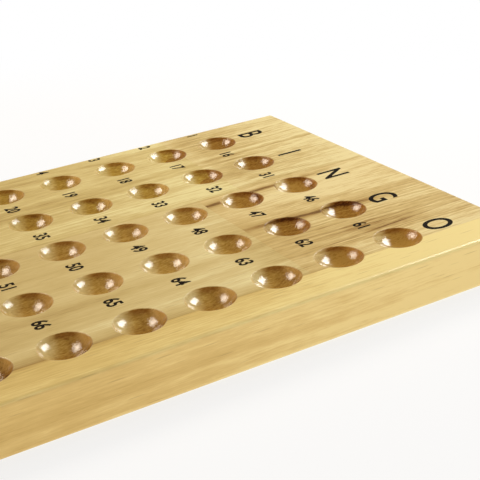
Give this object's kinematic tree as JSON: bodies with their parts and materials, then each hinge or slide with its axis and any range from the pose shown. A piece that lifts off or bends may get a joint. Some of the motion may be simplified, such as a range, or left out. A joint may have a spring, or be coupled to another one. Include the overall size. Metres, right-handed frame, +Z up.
{
  "type": "bingo master board",
  "caption": "Flat lacquered wooden panel with rows of round ball cups, used to set out the drawn numbered balls of a bingo game in order.",
  "frame": {"origin": "middle of the underside", "axes": "+X along the board to the end with the column letters, +Y across the board from the last row of cups to the first, +Z up out of the face with the cups"},
  "size_m": [0.411, 0.172, 0.018],
  "materials": {
    "far_stave_wood": "satin clear lacquer",
    "centre_stave_wood": "satin clear lacquer",
    "near_stave_wood": "satin clear lacquer",
    "printed_ink": "thin black screen print under the lacquer"
  },
  "bodies": {
    "root": {"far_stave_head": "far_stave_wood", "far_stave_middle": "far_stave_wood", "far_stave_foot": "far_stave_wood", "centre_stave_head": "centre_stave_wood", "centre_stave_middle": "centre_stave_wood", "centre_stave_foot": "centre_stave_wood", "near_stave_head": "near_stave_wood", "near_stave_foot": "near_stave_wood"}
  },
  "joints": []
}
